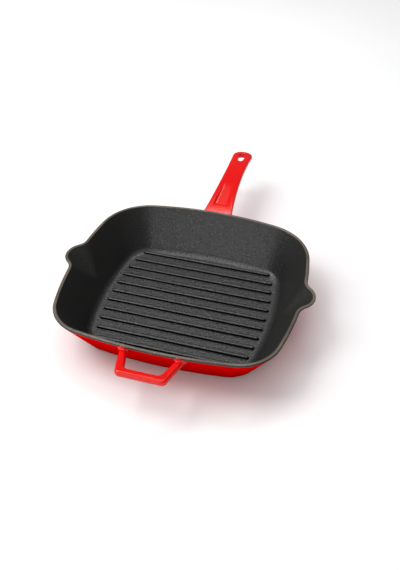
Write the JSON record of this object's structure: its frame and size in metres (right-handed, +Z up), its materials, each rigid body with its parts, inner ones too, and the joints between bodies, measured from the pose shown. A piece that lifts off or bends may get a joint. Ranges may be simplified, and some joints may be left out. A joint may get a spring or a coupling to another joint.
{
  "type": "grill pan",
  "caption": "Square enamelled cast-iron grill pan with raised ribs, side pour spouts, a long arched handle with a hanging slot and a helper loop at the front.",
  "frame": {"origin": "middle of the flat base, where the pan rests on the hob", "axes": "+Z up, +Y from the middle of the pan to the long handle's tip, +X to the right-hand spout"},
  "size_m": [0.3056, 0.4562, 0.0578],
  "materials": {
    "cast_iron": "as-cast grey iron, hidden under the enamel",
    "black_enamel": "satin black enamel with a fine orange-peel surface",
    "red_enamel": "glossy red vitreous enamel"
  },
  "bodies": {
    "root": {"pan_body": "cast_iron", "grill_rib_01": "cast_iron", "grill_rib_02": "cast_iron", "grill_rib_03": "cast_iron", "grill_rib_04": "cast_iron", "grill_rib_05": "cast_iron", "grill_rib_06": "cast_iron", "grill_rib_07": "cast_iron", "grill_rib_08": "cast_iron", "grill_rib_09": "cast_iron", "grill_rib_10": "cast_iron", "grill_rib_11": "cast_iron", "long_handle": "cast_iron", "helper_handle": "cast_iron", "interior_black_enamel": "black_enamel", "body_red_enamel": "red_enamel", "base_red_enamel": "red_enamel", "long_handle_red_enamel": "red_enamel", "helper_handle_red_enamel": "red_enamel"}
  },
  "joints": []
}
